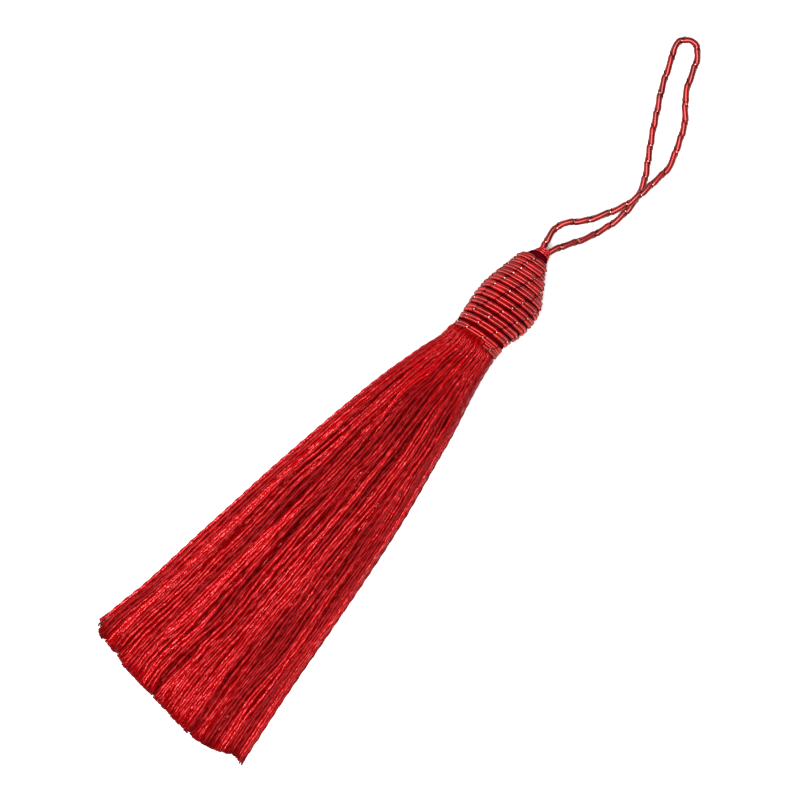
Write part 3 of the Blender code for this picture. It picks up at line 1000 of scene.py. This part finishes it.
class TASSEL_OT_skirt(bpy.types.Operator):
    """Hangs the skirt: twisted yarns that leave the neck as a round bundle and lie down in a fan"""

    bl_idname = "tassel.skirt"
    bl_label = "Skirt yarns"

    def places(self, count):
        """Even places in a unit disc, on a lattice that stays even however the disc is flattened."""
        reach = math.sqrt(count * math.sqrt(5) / math.pi)
        edge = 0.99
        span = range(-math.ceil(reach) * 2, math.ceil(reach) * 2 + 1)
        found = []
        for m in span:
            for n in span:
                across = (m + 0.5 + (n + 0.5) * GOLDEN) / reach
                height = (m + 0.5 - (n + 0.5) / GOLDEN) / reach
                if math.hypot(across, height) < edge:
                    found.append((across, height))
        widest = max(across for across, height in found)
        return sorted((across / widest, height) for across, height in found)

    def centre(self, across, height, from_neck, width):
        """Where a yarn lies as the bundle settles on the table, and how far the skirt reaches to a side."""
        left, right, deep, lift = (
            read_table(SKIRT, from_neck, column) for column in ("left", "right", "height", "lift")
        )
        settled = over(SETTLES, from_neck)
        # Beyond this place the bundle gets no thinner.
        rim = 0.93
        belly = math.sqrt(1 - min(abs(across), rim) ** 2)
        y = (left + right) / 2 + across * (left - right - width) / 2
        z = lift + width / 2 + (deep - width) / 2 * (1 + height - settled * (1 - belly))
        return y, z, (left - right) / 2

    def cut(self, y):
        """How far from the neck the skirt is cut, at a place to the left of its axis."""
        near_cut = 85 * MM
        left, right = (read_table(SKIRT, near_cut, column) for column in ("left", "right"))
        return read_table(CUT, (2 * y - left - right) / (left - right) * MM, "reach")

    def part(self, partings, across, upper, from_neck, half):
        """How far a yarn moves aside and dips where clumps part. It stays on its side of each parting."""
        moved = dips = 0.0
        for parting in partings:
            through = (from_neck / MM - parting["starts"]) / (parting["ends"] - parting["starts"])
            if 0 < through < 1:
                drift = parting["drift"] * (through - 0.5)
                gap = (across - parting["across"] - parting["drift"] / 2) * half / MM
                opens = math.copysign(parting["opens"], gap) + drift * half / MM
                grown = math.sin(math.pi * through) ** PARTING_POWER
                moved += opens * grown * math.exp(-abs(gap) / ASIDE_REACH)
                dips += DIP_SHARE * parting["opens"] * grown * math.exp(-((gap / DIP_REACH) ** 2))
        return moved * MM * upper, min(dips, DEEPEST_DIP) * MM * upper

    def painted_shade(self, across, upper, from_neck, dips):
        """Painted shade: how much darker a yarn's mark is made near the neck, at the rims, underneath and
        between clumps.
        """
        deeper = PAINTED_SHADE["between_clumps"] * dips / MM + PAINTED_SHADE["neck"] * (1 - over(CLEARS, from_neck))
        deeper += PAINTED_SHADE["right_rim"] * smooth_step(-across, *RIGHT_RIM)
        deeper += PAINTED_SHADE["left_rim"] * smooth_step(across, *LEFT_RIM)
        return deeper + PAINTED_SHADE["underneath"] * (1 - upper)

    def yarn(self, settings, partings, across, height, dice, step, plump):
        """One yarn from the neck to the cut: its points, radii, twists and marks, and what it has spare."""
        belly = math.sqrt(max(0.0, 1 - across**2))
        # From 0 on top to 1 underneath, but about half at the thin rims
        thin = 0.22
        under = min(max(0.5 - 0.5 * height / max(belly, thin), 0.0), 1.0)
        # From 0 where a yarn lies under others to 1 where it lies on top and shows
        upper = smooth_step(height + 0.25, -0.2 * belly, 0.55 * belly + 0.01)
        # It is laid this much too long, and cut below.
        to_cut_off = 1.5 * MM
        length = read_table(CUT, across * MM, "reach") + to_cut_off
        spare = settings.longer - settings.under * under + dice.uniform(*SPARE) * MM
        phase = dice.uniform(0, 2 * math.pi)
        own = dice.uniform(0, 100)
        stray = dice.uniform(*STRAY) * MM
        rise = dice.uniform(*RISE) * MM
        pale = dice.uniform(*PALE)
        lay = settings.lay * dice.uniform(*LAY_SHARE)
        count = round((length - ROOT) / step)
        tied = 1 - abs(across) ** 4
        points, radii, twists, marks = [], [], [], []
        for k in range(count + 1):
            from_neck = ROOT + (length - ROOT) * k / count
            width = read_table(YARN, from_neck, "width")
            y, z, half = self.centre(across, height, max(from_neck, 0.0), width)
            free = over(COMES_FREE, from_neck)
            here = (own, across * half / MM, from_neck / MM)
            aside = wave("clump_aside", *here) + wave("yarn_aside", *here)
            lift = wave("clump_up", *here) + wave("yarn_up", *here)
            y += (aside * MM + stray * math.sin(math.pi * from_neck / length)) * free * tied
            # Close to the neck the yarns still bend where they squeezed through the binding.
            bent = over(BENDS, from_neck) * (1 - STRAIGHTENED * over(STRAIGHTENS, from_neck))
            y += wave("squeezed_aside", *here) * MM * bent * tied
            z += wave("squeezed_up", *here) * MM * bent * tied * upper
            moved, dips = self.part(partings, across, upper, from_neck, half)
            # The mark is the yarn's random tone less its painted shade.
            marks.append(pale + wave("dye", *here) - self.painted_shade(across, upper, from_neck, dips))
            y += moved * free
            z += ((lift * MM + rise) * upper - dips) * free
            if across == 1:
                y += SPLAY * smooth_step(from_neck, length - SPLAY_LENGTH, length)
            radius = width / 2 * plump
            points.append(Vector((NECK.x - from_neck, NECK.y + y, max(z, radius))))
            radii.append(radius)
            tight = HARDER * (1 - math.exp(-max(from_neck / MM, 0.0) / LOOSENS))
            twists.append(phase - 2 * math.pi * (from_neck / lay + tight))
            # Every yarn is cut on one line, wherever it has waved to.
            past = from_neck - self.cut(y) - spare + SHORT
            if past > 0:
                points[-1] = points[-1].lerp(points[-2], min(past * count / (length - ROOT), 0.9))
                break
        return {"points": points, "radii": radii, "twists": twists, "mark": marks, "spare": spare}

    def execute(self, context):
        settings = context.scene.tassel_skirt
        dice = random.Random(settings.seed)
        rows = list(PARTINGS[1:])
        for i in range(SMALL_PARTINGS):
            across = SMALL_ACROSS[0] + SMALL_ACROSS[1] * (i * GOLDEN % 1.0)
            starts = dice.uniform(*SMALL_START)
            drift = dice.uniform(*SMALL_DRIFT)
            ends = starts + dice.uniform(*SMALL_LENGTH)
            rows.append((across, drift, starts, ends, dice.uniform(*SMALL_OPENS)))
        partings = [dict(zip(PARTINGS[0], row)) for row in rows]
        # Yarns within this depth of the top show. The others are coarser and plumper, to fill the bundle.
        deep = 0.55
        shown, hidden = [], []
        for across, height in self.places(settings.yarns):
            belly = math.sqrt(max(0.0, 1 - across**2))
            top = height > belly - deep
            step, plump = (0.45 * MM, 1.06) if top else (1.3 * MM, 1.35)
            yarn = self.yarn(settings, partings, across, height, dice, step, plump)
            (shown if top else hidden).append(yarn)
        third = math.ceil(len(shown) / 3)
        groups = [
            ("skirt_yarns_right", shown[:third], 9),
            ("skirt_yarns_middle", shown[third : 2 * third], 9),
            ("skirt_yarns_left", shown[2 * third :], 9),
            ("skirt_yarns_inner", hidden, 6),
        ]
        material = silk_yarn("silk_floss", settings.colour, read_table(CUT, 0.0, "reach"))
        for name, yarns, sides in groups:
            mesh = strands(name, yarns, sides, settings.waist, lobes=3)
            piece = place(name, mesh, material, "red_silk_yarn")
            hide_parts("yarn_skirt")
        brush = self.cut_ends(shown + hidden, dice)
        place("skirt_cut_ends", strands("skirt_cut_ends", brush, 4), material, "red_silk_yarn")
        return {"FINISHED"}

    def cut_ends(self, yarns, dice):
        """The filaments that fan out of each yarn where it is cut."""
        lowest = 0.12 * MM  # the radius of a tip that lies on the table
        brush = []
        for yarn in yarns:
            tip, radius = yarn["points"][-1], yarn["radii"][-1]
            along = (tip - yarn["points"][-4]).normalized()
            loose = dice.uniform(0.5, 1.0)
            for i in range(FILAMENTS):
                turn = 2 * math.pi * (i / FILAMENTS + dice.uniform(-0.04, 0.04))
                spread = Vector((0, math.cos(turn), math.sin(turn)))
                end = tip + spread * radius
                to_cut = self.cut(end.y - NECK.y) + yarn["spare"] - (NECK.x - end.x)
                to_cut += dice.uniform(-0.04, 0.04) * MM
                points, radii = [], []
                for past_cut, out, thick in FILAMENT[1:]:
                    point = tip + along * (past_cut * loose * MM + to_cut) + spread * radius * out
                    point.z = max(point.z, lowest)
                    points.append(point)
                    radii.append(thick * MM)
                # The cut filaments get a lighter mark than their yarn: painted light on the cut ends.
                painted_light_mark = yarn["mark"][-1] + dice.uniform(0.0, 0.25)
                brush.append({"points": points, "radii": radii, "mark": painted_light_mark})
        return brush


class TASSEL_PT_panel(bpy.types.Panel):
    """Lists the tassel's pieces"""

    bl_label = "Tassel"
    bl_idname = "TASSEL_PT_panel"
    bl_space_type = "VIEW_3D"
    bl_region_type = "UI"
    bl_category = "Tassel"

    def draw(self, context):
        for operator, group in STEPS:
            self.layout.operator(operator.bl_idname)
            settings = getattr(context.scene, group)
            for name in settings.bl_rna.properties.keys():
                if name not in ("rna_type", "name"):
                    self.layout.prop(settings, name)


GROUPS = (
    ("tassel_stage", TasselStageSettings),
    ("tassel_cord", TasselCordSettings),
    ("tassel_head", TasselHeadSettings),
    ("tassel_skirt", TasselSkirtSettings),
)
STEPS = (
    (TASSEL_OT_stage, "tassel_stage"),
    (TASSEL_OT_loop, "tassel_cord"),
    (TASSEL_OT_head, "tassel_head"),
    (TASSEL_OT_neck, "tassel_head"),
    (TASSEL_OT_collar, "tassel_head"),
    (TASSEL_OT_skirt, "tassel_skirt"),
)


def register():
    for name, group in GROUPS:
        bpy.utils.register_class(group)
        setattr(bpy.types.Scene, name, PointerProperty(type=group))
    for operator, group in STEPS:
        bpy.utils.register_class(operator)
    bpy.utils.register_class(TASSEL_PT_panel)


def unregister():
    bpy.utils.unregister_class(TASSEL_PT_panel)
    for operator, group in reversed(STEPS):
        bpy.utils.unregister_class(operator)
    for name, group in reversed(GROUPS):
        delattr(bpy.types.Scene, name)
        bpy.utils.unregister_class(group)


def main():
    register()
    bpy.ops.tassel.stage()
    bpy.ops.tassel.loop()
    bpy.ops.tassel.head()
    bpy.ops.tassel.neck()
    bpy.ops.tassel.collar()
    bpy.ops.tassel.skirt()


if __name__ == "__main__":
    main()
